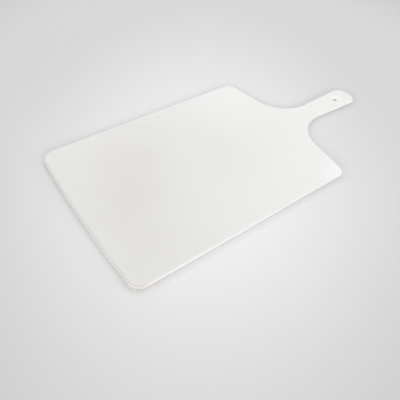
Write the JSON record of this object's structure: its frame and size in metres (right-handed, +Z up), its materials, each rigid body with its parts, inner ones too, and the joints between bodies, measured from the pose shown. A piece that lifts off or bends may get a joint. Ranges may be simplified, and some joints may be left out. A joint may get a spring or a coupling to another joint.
{
  "type": "mortar hawk",
  "caption": "Flat one-piece plastic mortar board with a rectangular plate, swept shoulders and an in-line side handle with a hanging hole.",
  "frame": {"origin": "middle of the board's overall length and width, on its underside", "axes": "+X along the handle, away from the leading edge; +Y across the plate; +Z up through the working face"},
  "size_m": [0.46, 0.24, 0.005],
  "materials": {
    "white_plastic": "satin, warm white polyethylene"
  },
  "bodies": {
    "root": {"hawk_board": "white_plastic"}
  },
  "joints": []
}
